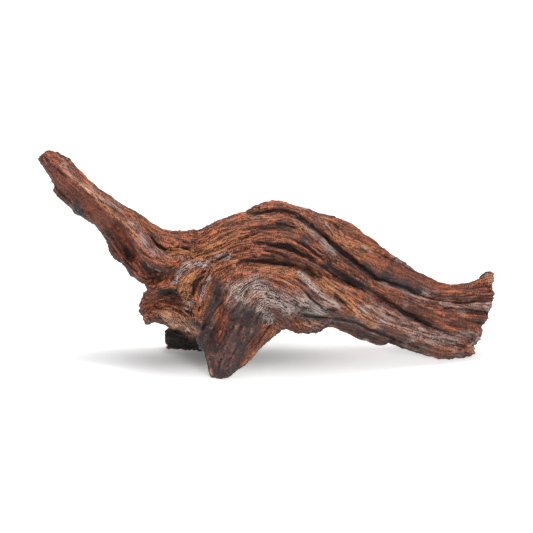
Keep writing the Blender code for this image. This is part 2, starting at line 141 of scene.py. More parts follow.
END_COURSES = {
    "above_fan": (
        2.0, -3.4, ((362, 285), (378, 294), (388, 302), (398, 308), (410, 315), (424, 323), (436, 328)),
    ),
    "above_fan_end": (1.3, -1.8, ((430, 326), (445, 330), (460, 334), (485, 340), (492, 342))),
    "fan_middle": (1.1, -2.2, ((426, 303), (445, 307), (460, 309), (479, 311), (500, 313))),
    "fan_thread": (1.0, -1.5, ((426, 313), (436, 315), (448, 317))),
    "fan_fine": (1.1, -1.9, ((460, 319), (470, 321), (484, 323), (496, 325))),
    "fan_top": (1.0, -1.3, ((434, 296), (460, 295), (500, 295))),
    "fan_high": (1.1, -1.4, ((446, 290), (470, 288), (500, 285))),
    "fan_low": (1.1, -1.2, ((424, 338), (446, 343), (476, 347))),
    "fan_crack": (1.1, -1.8, ((404, 317), (414, 320), (426, 324))),
}
BELLY_COURSES = {
    "pale_strip": (2.6, 1.2, ((298, 268), (309, 281), (324, 297), (340, 307), (352, 313))),
    "strip_groove": (1.1, -1.4, ((312, 276), (325, 288), (338, 299), (349, 308))),
    "golden_strand": (3.2, 1.6, ((318, 278), (335, 290), (350, 305), (362, 316), (374, 324))),
    "belly_furrow": (1.8, -3.0, ((303, 288), (310, 297), (317, 304), (326, 309), (340, 312))),
    "below_belly": (
        2.1, -4.0, ((300, 314), (311, 316), (326, 318), (347, 321), (362, 326), (378, 333), (402, 344)),
    ),
    "belly_crack": (1.2, -1.8, ((256, 278), (263, 283), (272, 285))),
    "belly_arc": (1.2, -1.3, ((236, 300), (246, 286), (260, 277), (276, 276), (292, 283))),
    "belly_inner_arc": (1.2, -1.3, ((250, 306), (258, 295), (268, 291), (280, 294), (294, 302))),
    "tongue_groove": (1.2, -1.8, ((286, 303), (298, 307), (312, 311))),
}
LEG_COURSES = {
    "leg_groove": (1.5, -2.4, ((225, 298), (219, 306), (213, 314), (208, 322), (201, 332))),
    "leg_band": (3.2, 1.6, ((223, 306), (215, 320), (209, 333), (204, 346))),
    "leg_face": (10.0, 4.0, ((240, 318), (231, 340), (222, 358), (219, 370))),
    "leg_patch": (5.0, -1.6, ((217, 287), (213, 299))),
    "leg_notch": (1.4, -2.2, ((224, 287), (226, 294), (223, 299))),
}
BURL_COURSES = {
    "swirl_outer": (2.3, 1.8, ((173, 283), (178, 273), (185, 267), (193, 263), (203, 261))),
    "swirl_groove": (1.1, -1.8, ((181, 279), (188, 272), (195, 268), (204, 265))),
    "swirl_inner": (1.5, 1.4, ((183, 282), (188, 275), (194, 271), (204, 268))),
    "swirl_edge": (1.4, -1.8, ((170, 286), (174, 275), (181, 266), (190, 260), (201, 256))),
    "knot": (4.6, 2.2, ((191, 276), (186, 285), (187, 294))),
    "knot_edge": (1.2, -1.8, ((179, 282), (177, 290), (180, 298), (188, 302))),
    "wedge": (2.3, -3.8, ((200, 275), (195, 283), (193, 290), (192, 298))),
    "wedge_side": (1.6, 1.6, ((204, 273), (199, 283), (197, 293), (196, 302))),
    "side_groove": (1.0, -1.4, ((206, 276), (201, 286), (199, 298))),
    "side_ridge": (1.3, 1.4, ((210, 276), (204, 286), (201, 298))),
    "notch": (2.0, -3.2, ((205, 265), (208, 270))),
    "cave": (3.4, -3.8, ((157, 291), (166, 291), (175, 292))),
    "slit": (1.3, -2.4, ((155, 301), (161, 296), (167, 295), (172, 298), (179, 300))),
    "lip_slit": (1.0, -1.8, ((153, 304), (160, 301), (169, 301), (179, 302))),
    "brow": (2.1, 2.0, ((147, 290), (155, 284), (163, 281), (172, 278))),
    "lip": (3.4, 1.6, ((157, 306), (168, 306), (178, 308))),
    "lip_pit": (1.6, -2.2, ((154, 302), (156, 309))),
    "chin": (3.4, 1.3, ((149, 316), (159, 315))),
    "chin_groove": (1.2, -1.5, ((158, 310), (163, 318), (169, 323))),
    "chin_thread": (1.0, -1.2, ((172, 314), (182, 322), (192, 333))),
}
FRONT_COURSES = {
    **LIMB_COURSES, **HUMP_COURSES, **END_COURSES, **BELLY_COURSES, **LEG_COURSES, **BURL_COURSES
}
REAR_COURSES = {
    "rear_high": (
        2.2, -3.2, ((216, 262), (246, 251), (280, 249), (312, 257), (345, 273), (378, 291), (410, 302)),
    ),
    "rear_middle": (
        2.4, -3.4, ((240, 277), (272, 275), (302, 280), (332, 288), (362, 299), (396, 315), (430, 327)),
    ),
    "rear_low": (2.2, -3.0, ((228, 313), (256, 303), (290, 303), (322, 312))),
    "rear_end": (1.8, -3.0, ((404, 283), (432, 295), (460, 298), (500, 294))),
    "rear_fan": (1.8, -3.0, ((430, 311), (458, 314), (500, 313))),
    "rear_fan_low": (1.4, -2.2, ((440, 326), (470, 332), (496, 336))),
    "rear_limb": (1.8, -2.6, ((64, 180), (100, 212), (124, 236), (150, 254))),
    "rear_limb_ridge": (1.8, 1.3, ((58, 166), (90, 192), (124, 222), (152, 240))),
    "rear_crack": (1.4, -2.6, ((250, 232), (276, 228), (306, 238))),
    "rear_long_crack": (1.4, -2.8, ((300, 268), (330, 278), (352, 288))),
    "rear_low_crack": (1.5, -2.6, ((176, 262), (196, 272), (214, 286))),
    "rear_strand": (3.0, 1.6, ((226, 268), (262, 262), (298, 266), (330, 280), (366, 294))),
}

# A swelling is (column, row, radius in pixels, height in millimetres). It moves the whole edge.
SWELLINGS = (
    (142, 300, 9, -1.6),
    (148, 314, 6, 4.6),
    (150, 317, 3.5, 3.4),
    (160, 319, 6, 2.4),
    (172, 325, 7, 2.8),
    (179, 319, 8, 1.8),
    (188, 334, 8, 2.0),
    (199, 342, 6, 2.2),
    (230, 370, 6, 2.4),
    (224, 376, 5, 1.4),
    (79, 209, 4.5, 2.8),
    (60, 192, 6, 1.2),
    (245, 352, 9, 1.4),
    (300, 327, 9, 1.2),
)

# Further courses that only say which way the grain runs
FRONT_GRAIN = (
    ((46, 154), (62, 168), (80, 186), (100, 203), (120, 219), (136, 234), (150, 250), (162, 264)),
    ((50, 152), (68, 165), (86, 182), (108, 198), (128, 212), (142, 224), (156, 234)),
    ((44, 160), (52, 176), (62, 192), (76, 206), (92, 222), (106, 238), (114, 252), (130, 266), (146, 280)),
    ((62, 182), (82, 202), (104, 220), (120, 238), (130, 256), (142, 270)),
    ((152, 226), (166, 232), (184, 232), (204, 229), (222, 220), (238, 213)),
    ((156, 238), (172, 243), (190, 246), (204, 243), (220, 234), (236, 224)),
    ((168, 256), (186, 254), (204, 247), (222, 238), (240, 229), (262, 226)),
    ((184, 262), (204, 255), (224, 247), (244, 241), (262, 238)),
    ((236, 214), (254, 205), (274, 203), (292, 207), (310, 217), (326, 230)),
    (
        (288, 202), (304, 210), (320, 220), (334, 234), (348, 246),
        (366, 251), (390, 259), (412, 272), (436, 283),
    ),
    ((320, 217), (336, 222), (352, 232), (370, 244), (386, 254)),
    ((240, 222), (258, 218), (280, 216), (300, 222), (316, 234), (332, 250), (346, 261), (362, 270)),
    ((234, 234), (256, 228), (280, 228), (300, 235), (316, 248), (334, 261), (352, 272), (372, 283)),
    ((226, 254), (246, 248), (270, 247), (296, 254), (318, 266), (342, 282), (366, 296), (390, 310)),
    ((216, 266), (236, 259), (256, 256), (280, 258), (302, 266), (322, 279), (342, 292), (362, 306)),
    (
        (222, 276), (240, 267), (262, 265), (284, 269), (304, 278),
        (324, 291), (346, 305), (370, 322), (400, 334),
    ),
    (
        (216, 298), (226, 284), (240, 275), (262, 271), (280, 276),
        (296, 286), (312, 300), (330, 309), (352, 316),
    ),
    ((228, 314), (238, 298), (250, 286), (265, 281), (280, 285), (295, 294), (308, 306), (324, 315)),
    ((240, 318), (248, 302), (258, 292), (270, 290), (284, 298), (298, 308), (312, 319)),
    ((251, 320), (257, 307), (266, 300), (277, 306), (289, 315), (302, 324)),
    ((261, 326), (265, 316), (271, 312), (282, 319), (294, 327)),
    ((380, 256), (402, 264), (424, 277), (448, 285), (472, 282), (490, 274)),
    ((384, 268), (408, 278), (432, 291), (458, 294), (492, 290)),
    ((378, 286), (402, 294), (426, 303), (452, 305), (492, 305)),
    ((388, 298), (412, 306), (438, 314), (464, 316), (490, 318)),
    ((404, 326), (430, 334), (456, 340), (478, 346)),
    ((384, 330), (410, 341), (440, 351), (468, 353)),
    ((222, 278), (214, 294), (208, 312), (203, 330), (202, 350), (208, 366), (214, 377)),
    ((232, 302), (222, 320), (212, 338), (208, 354), (214, 372)),
    ((246, 316), (236, 332), (226, 348), (217, 362), (218, 376)),
    ((270, 329), (258, 343), (245, 358), (232, 372), (222, 378)),
    ((258, 326), (248, 340), (236, 354), (226, 368)),
    ((216, 262), (202, 259), (190, 263), (181, 273), (177, 285)),
    ((230, 254), (212, 262), (196, 268), (186, 276), (180, 286), (179, 296), (186, 302)),
    ((204, 266), (196, 272), (189, 280), (187, 290), (190, 300)),
    ((208, 269), (200, 278), (196, 288), (195, 300), (190, 308)),
    ((214, 274), (206, 284), (202, 296), (199, 312), (197, 328)),
    ((148, 291), (156, 284), (166, 279), (176, 271), (190, 260), (208, 252)),
    ((146, 297), (156, 292), (167, 289), (177, 292), (184, 300)),
    ((146, 306), (156, 301), (168, 299), (180, 303), (192, 308)),
    ((146, 316), (156, 310), (168, 311), (180, 318), (191, 330)),
    ((160, 318), (172, 323), (184, 330), (196, 336)),
)
REAR_GRAIN = (
    ((52, 156), (84, 184), (120, 214), (156, 236), (186, 240), (214, 232)),
    ((60, 186), (92, 216), (120, 250), (146, 276)),
    ((160, 262), (190, 262), (216, 254), (246, 240), (276, 236), (306, 246), (340, 262)),
    ((160, 282), (186, 286), (210, 296), (224, 310)),
    ((214, 300), (207, 322), (206, 350)),
    ((208, 328), (190, 336), (170, 339)),
    ((232, 322), (262, 312), (296, 316), (340, 328), (384, 340), (450, 350)),
    ((240, 292), (270, 288), (300, 292), (334, 304), (370, 318), (410, 334)),
)

# A wash of colour is (half width in pixels, strength, its columns and rows in the front view). Some washes
# are painted shade or painted light, as marked.
WASHES = {
    "grey_and_sheen": (
        # The belly, the strip beside the golden strand and the crest's flank: weathered grey with painted
        # sheen
        (14, 1.0, ((238, 292), (252, 288), (268, 296), (284, 302), (304, 306), (318, 312))),
        (9, 0.9, ((262, 308), (270, 318))),
        (3.5, 1.1, ((300, 272), (310, 283), (324, 298), (340, 307))),
        (4, 0.8, ((296, 216), (308, 226), (322, 240), (334, 252))),
        (3.5, 1.1, ((174, 282), (179, 272), (187, 266), (197, 263), (204, 265))),
        (2.5, 1.0, ((209, 277), (204, 287), (201, 299))),
        (6, 0.8, ((134, 224), (144, 238), (154, 252))),
        (4, 0.5, ((62, 166), (80, 182), (100, 198), (122, 211))),
        (12, 0.65, ((366, 306), (392, 320), (420, 334), (450, 340), (476, 342))),
        (14, 0.42, ((420, 298), (450, 306), (486, 306))),
        (3, 0.6, ((378, 282), (396, 288), (412, 296))),
        (2.5, 0.6, ((392, 258), (412, 268), (434, 280))),
        (4, 0.7, ((206, 262), (218, 257), (228, 255))),
        (2, 0.9, ((185, 303), (192, 303), (184, 312))),
    ),
    "gold_and_highlight": (
        (6, 1.0, ((314, 276), (332, 288), (348, 302), (362, 315), (374, 324))),
        (4, 0.5, ((246, 218), (268, 218), (292, 222), (306, 232))),
        (6, 0.7, ((172, 250), (190, 256), (206, 250), (226, 240), (244, 232))),
        # Painted highlight along the limb's lit ridge
        (2.4, 1.1, ((80, 185), (96, 197), (112, 213), (126, 225), (134, 236))),
        (5, 1.1, ((192, 275), (186, 284), (188, 295))),
        (3, 0.7, ((214, 266), (224, 258), (234, 262))),
        (2.2, 0.9, ((274, 331), (258, 348), (240, 366), (226, 377))),
        (6, 0.5, ((262, 266), (286, 270), (306, 280))),
        (3, 0.8, ((322, 217), (334, 234), (348, 244), (372, 250))),
        (5, 0.6, ((184, 309), (196, 308))),
        # Painted light that brightens the chin, which faces down
        (9, 1.0, ((168, 318), (182, 324), (194, 332))),
        (4, 0.5, ((210, 298), (206, 310))),
    ),
    "char": (
        (14, 1.3, ((244, 322), (234, 340), (226, 358), (220, 366))),
        (6, 0.9, ((218, 286), (216, 300), (208, 314))),
        (4, 0.5, ((72, 198), (80, 206))),
        (3, 1.3, ((76, 206), (82, 214))),
        # Painted shade in the limb's hollow and at its joint
        (4, 0.5, ((126, 248), (131, 260))),
        (6, 0.6, ((146, 266), (154, 276))),
        # Painted shade in the valley under the crest, and over the rear root, which stands in shade
        (6, 0.6, ((324, 266), (344, 276), (366, 288))),
        (20, 2.0, ((166, 340), (196, 342))),
        (7, 0.5, ((262, 226), (286, 230), (306, 240))),
        # Painted shade below the crest's strand and on the limb's lower side
        (7, 0.75, ((364, 268), (392, 279), (416, 289))),
        (4, 0.4, ((90, 218), (106, 234), (118, 252))),
        # Painted shade in the jaw's cave under the brow and along the belly's underside
        (5, 0.7, ((160, 291), (174, 292))),
        (6, 0.5, ((320, 322), (360, 334), (396, 346))),
    ),
    "dark_patch_and_shade": (
        # Painted shade: the crest's flank, the limb's lower side, the flared end's lower edge, and the
        # recesses in the hump, the fan, the jaw and the leg
        (6, 0.85, ((316, 236), (340, 256), (366, 273), (392, 284), (420, 293))),
        (5, 0.7, ((392, 264), (414, 276), (438, 288))),
        (8, 0.9, ((62, 182), (82, 201), (102, 217), (122, 246))),
        (5, 0.6, ((384, 298), (410, 312), (440, 327))),
        (6, 0.7, ((330, 324), (376, 337), (420, 349))),
        (6, 0.5, ((270, 250), (296, 258), (318, 270))),
        (7, 0.6, ((152, 294), (168, 298), (182, 300))),
        (7, 0.6, ((216, 284), (214, 300), (208, 312))),
    ),
    "pale": (
        (4, 1.0, ((484, 275), (492, 277), (491, 283))),
        (3, 0.9, ((470, 346), (475, 350))),
        (2.5, 0.8, ((211, 370), (212, 374))),
        (2, 0.5, ((497, 290), (494, 306), (486, 324))),
        # Painted light that brightens the chin, which faces down
        (8, 0.8, ((168, 317), (182, 325), (194, 333))),
    ),
    "red": (
        (10, 0.9, ((150, 300), (165, 308), (184, 320), (198, 332))),
        (4, 1.0, ((48, 155), (52, 156))),
        (5, 0.6, ((218, 316), (210, 332), (205, 346))),
        (13, 0.8, ((54, 172), (74, 194), (100, 216), (122, 240), (140, 262))),
        (12, 0.7, ((250, 224), (276, 222), (298, 230), (312, 244))),
        (9, 0.6, ((244, 250), (272, 252), (300, 262))),
        (9, 0.6, ((384, 262), (410, 276), (440, 290))),
    ),
}


# Where the wood is worn smooth, written as a wash is. It holds for the front and the back.
CALM = (
    (34, 0.75, ((410, 300), (440, 312), (484, 318))),
    (20, 0.8, ((46, 160), (74, 190), (104, 218), (134, 250))),
    (20, 0.7, ((238, 322), (226, 350), (218, 372))),
    (12, 0.5, ((216, 286), (214, 304))),
    (14, 0.5, ((300, 290), (340, 310), (372, 330))),
)

# Away from the front, colour lies in patches: (size in millimetres, strength)
PATCHES = {
    "grey_and_sheen": (26, 0.8),
    "gold_and_highlight": (20, 0.8),
    "char": (30, 0.8),
    "dark_patch_and_shade": (28, 0.6),
    "pale": (9, 0),
    "red": (24, 0.8),
}

# Where a strand of the frame ends in a step, the skin is eased: (place, radius), in millimetres
EASED = (((-66, -8, 119), 24), ((-48, 40, 97), 16))

# A fork is (middle of the cut, direction of the branch, breadth across it in the front view,
# breadth in depth, reach), in millimetres. The branches are taken off in this order.
FORKS = {
    "rear_root": ((-71, 44, 34), (-0.10, 0.05, -1), 100, 64, 60),
    "front_leg": ((-25, -36, 41), (-0.15, -0.05, -1), 84, 60, 70),
    "burl": ((-80, -10, 48), (-1, 0, -0.06), 66, 110, 70),
    "left_limb": ((-99, 0, 94), (-0.936, 0, 0.351), 170, 120, 160),
    "flared_end": ((111, 20, 50), (0.95, 0, -0.30), 150, 130, 130),
}


def linear(hex_colour):
    """A linear colour from its sRGB hex value."""
    channels = [int(hex_colour[place : place + 2], 16) / 255 for place in (1, 3, 5)]
    return (
        *(c / 12.92 if c <= 0.04045 else ((c + 0.055) / 1.055) ** 2.4 for c in channels),
        1,
    )


def length(name, description, default):
    """A length that a user can change."""
    return bpy.props.FloatProperty(
        name=name, description=description, default=default * MM, unit="LENGTH"
    )


def colour(name, description, default):
    """A colour that a user can change."""
    return bpy.props.FloatVectorProperty(
        name=name, description=description, default=linear(default), subtype="COLOR", size=4
    )


class DriftwoodSizes(bpy.types.PropertyGroup):
    """What a user would change about the wood's surface."""

    facet: length("Surface spacing", "Distance between the points of the skin", 0.82)
    strand_depth: length("Strand depth", "Height of the strands the grain is bundled in", 1.1)
    grain_depth: length("Grain depth", "Height of the single grain ridges", 0.85)
    fibre_depth: length("Fibre depth", "Height of the finest fibres", 0.42)
    crack_depth: length("Crack depth", "Depth of the drying cracks along the grain", 1.7)
    lump_depth: length("Lump depth", "Height of the swellings in the wood", 0.5)
    splinter: length("Splinter length", "How far broken fibres stand out at the flared end", 1.4)


class DriftwoodColours(bpy.types.PropertyGroup):
    """The colours of the wood and of what it stands on."""

    # Painted shade: the near black laid into furrows, cracks and the grain's grooves, and over the rear
    # root
    crevice_shade: colour("Crevice", "Wood at the bottom of furrows and cracks", "#150c09")
    heart: colour("Heartwood", "Wood between the crests", "#512413")
    crest: colour("Crest", "Worn crests of the grain", "#a9562e")
    # The grain's lighter fibres, brightened as a painted highlight on their crests
    fibre_highlight: colour("Bright fibres", "Fine fibres that catch the light", "#c87447")
    # Golden wood, with painted highlight along the limb's ridge and painted light on the chin
    gold_and_highlight: colour("Golden wood", "Freshly worn strands", "#c4834f")
    # Weathered grey, partly painted sheen: satin highlights on crests that face the light
    grey_and_sheen: colour("Weathered wood", "Wood bleached by water and light", "#b0a19a")
    # Waterlogged wood, also laid as painted shade in hollows, in the valley under the crest and over the
    # rear root
    char: colour("Waterlogged wood", "Wood blackened by long soaking", "#262022")
    # Painted shade on the undersides and shaded flanks; away from the front it lies in random dark patches
    dark_patch_and_shade: colour("Dark patches and painted shade", "Wood on the undersides", "#381b10")
    red: colour("Red heartwood", "Wood below the bark at the burl", "#8e4429")
    # Fresh breaks at the tips, and painted light on the chin
    pale: colour("Broken wood", "Fresh breaks at the tips", "#c48f70")
    floor: colour("Floor", "The pale floor", "#f4f4f4")


def view_axes():
    """Where the front view is seen from, and its directions across, up and away."""
    away = Vector((0, math.cos(VIEW_HEIGHT), -math.sin(VIEW_HEIGHT)))
    up = Vector((0, math.sin(VIEW_HEIGHT), math.cos(VIEW_HEIGHT)))
    return VIEW_TARGET - away * VIEW_DISTANCE, Vector((1, 0, 0)), up, away


def ray_through(column, row):
    """The direction in which a column and row of the front view is seen."""
    _, across, up, away = view_axes()
    focal_pixels = VIEW_PIXELS * VIEW_LENS / VIEW_SENSOR
    offset = across * (column - VIEW_PIXELS / 2) + up * (VIEW_PIXELS / 2 - row)
    return (away + offset / focal_pixels).normalized()


def columns_and_rows(places):
    """Where an array of places shows in the front view."""
    eye, across, up, away = (np.array(vector) for vector in view_axes())
    scale = VIEW_PIXELS * VIEW_LENS / VIEW_SENSOR / ((places - eye) @ away)
    columns = VIEW_PIXELS / 2 + (places - eye) @ across * scale
    rows = VIEW_PIXELS / 2 - (places - eye) @ up * scale
    return np.stack((columns, rows), axis=1).astype(np.float32)


def smooth_step(value, low, high):
    """0 below low, 1 above high and a smooth rise between them."""
    share = np.clip((value - low) / (high - low), 0, 1)
    return share * share * (3 - 2 * share)


def points_of(mesh):
    """Places and normals of a mesh's vertices, as arrays."""
    places = np.empty(len(mesh.vertices) * 3, np.float32)
    normals = np.empty(len(mesh.vertices) * 3, np.float32)
    mesh.vertices.foreach_get("co", places)
    mesh.vertices.foreach_get("normal", normals)
    return places.reshape(-1, 3), normals.reshape(-1, 3)


def linked(name, mesh):
    """A new object of a mesh, in the scene."""
    obj = bpy.data.objects.new(name, mesh)
    bpy.context.scene.collection.objects.link(obj)
    return obj


def applied(obj):
    """The object's mesh with its modifiers applied. They are taken off the object."""
    graph = bpy.context.evaluated_depsgraph_get()
    mesh = bpy.data.meshes.new_from_object(obj.evaluated_get(graph))
    obj.modifiers.clear()
    return mesh


def soft_body(spacing):
    """The frame's solids fused across their forks, softened, and divided down to the spacing."""
    whole = bmesh.new()
    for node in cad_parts.values():
        whole.from_mesh(node.data)
    bmesh.ops.remove_doubles(whole, verts=whole.verts, dist=0.01 * MM)
    whole.normal_update()
    for vert in whole.verts:
        vert.co += vert.normal * 0.35 * MM
    mesh = bpy.data.meshes.new("body")
    whole.to_mesh(mesh)
    whole.free()
    body = linked("body", mesh)
    fuse = body.modifiers.new("fuse", "REMESH")
    fuse.mode = "VOXEL"
    fuse.voxel_size = 2 * spacing
    body.data = applied(body)
    places = points_of(body.data)[0]
    eased = body.vertex_groups.new(name="eased")
    for middle, radius in EASED:
        apart = np.linalg.norm(places - np.array(middle) * MM, axis=1)
        for index in np.flatnonzero(apart < radius * MM):
            weight = smooth_step(apart[index], radius * MM, radius / 2 * MM)
            eased.add([int(index)], float(weight), "REPLACE")
    for factor, iterations, group in ((0.5, 7, ""), (0.9, 160, "eased")):
        soften = body.modifiers.new("soften", "SMOOTH")
        soften.factor = factor
        soften.iterations = iterations
        soften.vertex_group = group
    divide = body.modifiers.new("divide", "SUBSURF")
    divide.levels = 1
    divide.render_levels = 1
    finished = applied(body)
    bpy.data.objects.remove(body)
    return finished


def nearness(points, course, half_width, fade):
    """How near each point of the view lies to a course: 1 on it, and 0 well beside it.

    With a fade, the course also thins out towards its ends over that many pixels."""
    nearest = np.full(len(points), np.inf, np.float32)
    along = np.zeros(len(points), np.float32)
    walked = 0
    for start, end in zip(course, course[1:]):
        start = np.array(start, np.float32)
        run = (np.array(end, np.float32) - start)
        run_length = float(np.linalg.norm(run))
        share = np.clip((points - start) @ run / run_length**2, 0, 1)
        beside = np.linalg.norm(points - start - share[:, None] * run, axis=1)
        closer = beside < nearest
        nearest = np.where(closer, beside, nearest)
        along = np.where(closer, walked + share * run_length, along)
        walked += run_length
    near = np.exp(-((nearest / half_width) ** 2))
    if fade:
        near *= smooth_step(np.minimum(along, walked - along), -0.2 * fade, fade)
    return near


COURSE_FADE = 7  # pixels over which each end of a furrow or ridge fades out


def drawn(seen, half_width, height, course, fade):
    """One course drawn over all seen points. Only those near it are worked out."""
    columns, rows = zip(*course)
    reach = 2.8 * half_width
    near = (
        (seen[:, 0] > min(columns) - reach)
        & (seen[:, 0] < max(columns) + reach)
        & (seen[:, 1] > min(rows) - reach)
        & (seen[:, 1] < max(rows) + reach)
    )
    values = np.zeros(len(seen), np.float32)
    values[near] = nearness(seen[near], course, half_width, fade) * height
    return values


def course_heights(seen, courses):
    """How far the ridges rise or the furrows cut at each seen point, in millimetres."""
    high = np.zeros(len(seen), np.float32)
    low = np.zeros(len(seen), np.float32)
    for half_width, height, course in courses.values():
        values = drawn(seen, half_width, height, course, COURSE_FADE)
        high = np.maximum(high, values)
        low = np.minimum(low, values)
    return high + low


def washes(seen, courses):
    """How strongly a wash of colour lies on each seen point."""
    total = np.zeros(len(seen), np.float32)
    for half_width, strength, course in courses:
        total = np.maximum(total, drawn(seen, half_width, strength, course, 0))
    return total


def on_surface(tree, course, rear):
    """Places along a course where it lies on the front or on the back of the wood."""
    eye = view_axes()[0]
    places = []
    for (column, row), (next_column, next_row) in zip(course, course[1:]):
        steps = max(1, round(math.hypot(next_column - column, next_row - row) / 4))
        for step in range(steps):
            share = step / steps
            ray = ray_through(
                column + (next_column - column) * share, row + (next_row - row) * share
            )
            start = eye + ray * 2 * VIEW_DISTANCE if rear else eye
            place = tree.ray_cast(start, -ray if rear else ray)[0]
            if place:
                places.append(place)
    return places


def grain_guides(mesh):
    """Places on the wood and the way that the grain runs at each of them."""
    tree = BVHTree.FromPolygons(
        [vert.co for vert in mesh.vertices], [face.vertices for face in mesh.polygons]
    )
    front = [course for *_, course in FRONT_COURSES.values() if len(course) > 2]
    rear = [course for *_, course in REAR_COURSES.values()]
    places = []
    ways = []
    for is_rear, courses in ((False, front + list(FRONT_GRAIN)), (True, rear + list(REAR_GRAIN))):
        for course in courses:
            found = on_surface(tree, course, is_rear)
            for start, end in zip(found, found[1:]):
                run = end - start
                if 0.5 * MM < run.length < 10 * MM:
                    places.append((start + end) / 2)
                    ways.append(run.normalized())
    return np.array(places, np.float32), np.array(ways, np.float32)


class GrainField:
    """Which way the grain runs near the wood's surface, as a tensor on a coarse grid."""

    spacing = 5 * MM

    def __init__(self, surface, places, ways):
        self.low = surface.min(axis=0) - 3 * self.spacing
        size = surface.max(axis=0) + 3 * self.spacing - self.low
        self.shape = np.ceil(size / self.spacing).astype(int) + 1
        cells = np.unique(((surface - self.low) / self.spacing).astype(np.int32), axis=0)
        around = np.array(list(np.ndindex(4, 4, 4)), np.int32) - 1
        wanted = np.unique((cells[:, None] + around[None]).reshape(-1, 3), axis=0)
        x, y, z = ways.T
        products = np.stack((x * x, y * y, z * z, x * y, x * z, y * z), axis=1)
        self.tensors = np.zeros((*self.shape, 6), np.float32)
        for part in np.array_split(wanted, len(wanted) // 4000 + 1):
            points = (self.low + part * self.spacing).astype(np.float32)
            apart = (points**2).sum(axis=1)[:, None] - 2 * points @ places.T + (places**2).sum(axis=1)
            pull = 1 / (np.maximum(apart, 0) + (3 * MM) ** 2) ** 2
            self.tensors[tuple(part.T)] = (pull @ products) / pull.sum(axis=1)[:, None]
        waver = np.random.default_rng(5).normal(0, 0.09, self.tensors.shape)
        self.tensors = (self.tensors + waver * (self.tensors[..., :1] > 0)).reshape(-1, 6)
        self.tensors = self.tensors.astype(np.float32)

    def at(self, places):
        """The tensors at places, blended from the grid's eight nearest."""
        position = (places - self.low) / self.spacing
        cell = np.clip(position.astype(np.int32), 0, self.shape - 2)
        share = np.clip(position - cell, 0, 1).astype(np.float32)
        steps = np.array((self.shape[1] * self.shape[2], self.shape[2], 1))
        index = cell @ steps
        blended = 0
        for corner in np.ndindex(2, 2, 2):
            weight = np.prod(np.where(corner, share, 1 - share), axis=1)
            blended = blended + weight[:, None] * self.tensors[index + np.dot(corner, steps)]
        return blended

    def onward(self, places, heading):
        """The heading of the grain at places, on the side that the given heading points to."""
        xx, yy, zz, xy, xz, yz = self.at(places).T
        x, y, z = heading.T
        turned = np.stack(
            (xx * x + xy * y + xz * z, xy * x + yy * y + yz * z, xz * x + yz * y + zz * z), axis=1
        )
        return turned / np.maximum(np.linalg.norm(turned, axis=1, keepdims=True), 1e-9)


def speckle(places, cell, seed):
    """Smooth random values between -1 and 1 that repeat every 64 cells."""
    block = 64
    values = np.random.default_rng(seed).uniform(-1, 1, block**3).astype(np.float32)
    position = places / cell
    base = np.floor(position).astype(np.int32)
    share = (position - base).astype(np.float32)
    share = share * share * (3 - 2 * share)
    blended = np.zeros(len(places), np.float32)
    for corner in np.ndindex(2, 2, 2):
        wrapped = (base + np.array(corner, np.int32)) & (block - 1)
        weight = np.prod(np.where(corner, share, 1 - share), axis=1)
        blended += weight * values[(wrapped[:, 0] * block + wrapped[:, 1]) * block + wrapped[:, 2]]
    return blended


# Each grain pattern is (width of its cells, how far it runs along the grain), in millimetres.
# A pattern's place in the list is its seed.
GRAIN_PATTERNS = {
    "strands": (4.6, 42.0),
    "grain": (1.9, 22.0),
    "fibres": (1.1, 10.0),
    "cracks": (1.2, 13.0),
}
GRAIN_STEP = 1.6 * MM

# How courses waver: (size in millimetres, reach in pixels), with a seed for each across and down
WAVERS = ((7, 1.1), (2.5, 0.5))
WAVER_SEEDS = ((14, 15), (16, 17))
MOST_CALM = 0.8
BROKEN_END = (160 * MM, 192 * MM)  # where the flared end's fibres begin to stand out, and do so fully
MOST_TRIANGLES = 196_000  # the most triangles that one piece keeps; a piece has to stay under 200,000


def drawn_along_grain(places, field):
    """Random patterns averaged along the grain, so that each becomes long streaks of even contrast.

    The way that the grain runs at each place comes with them."""
    sums = {name: np.zeros(len(places), np.float32) for name in GRAIN_PATTERNS}
    longest = max(run for _, run in GRAIN_PATTERNS.values()) * MM
    for side in (1, -1):
        at = places.copy()
        heading = np.tile(np.array((0.7, 0.1, -0.3), np.float32), (len(places), 1))
        for _ in range(3):
            heading = field.onward(at, heading)
        way = heading
        heading = heading * side
        for step in range(round(longest / GRAIN_STEP)):
            walked = (step + 0.5) * GRAIN_STEP
            at = at + heading * GRAIN_STEP
            heading = field.onward(at, heading)
            for seed, (name, (cell, run)) in enumerate(GRAIN_PATTERNS.items()):
                if walked < run * MM:
                    fade = math.cos(math.pi / 2 * walked / (run * MM))
                    sums[name] += fade * speckle(at, cell * MM, seed)
    return {name: (sums[name] - sums[name].mean()) / sums[name].std() for name in sums}, way


def rounded(values):
    """Turns streaks into rounded ridges that meet in narrow grooves, around an even level."""
    ridges = np.abs(np.clip(values, -2.4, 2.4)) ** 0.75
    return ridges - ridges.mean()


def stored(mesh, layers, way):
    """Writes the values that the material reads onto the mesh's points."""
    for name, values in layers.items():
        layer = mesh.attributes.new(name, "FLOAT", "POINT")
        layer.data.foreach_set("value", values.astype(np.float32))
    layer = mesh.attributes.new("way", "FLOAT_VECTOR", "POINT")
    layer.data.foreach_set("vector", way.astype(np.float32).ravel())


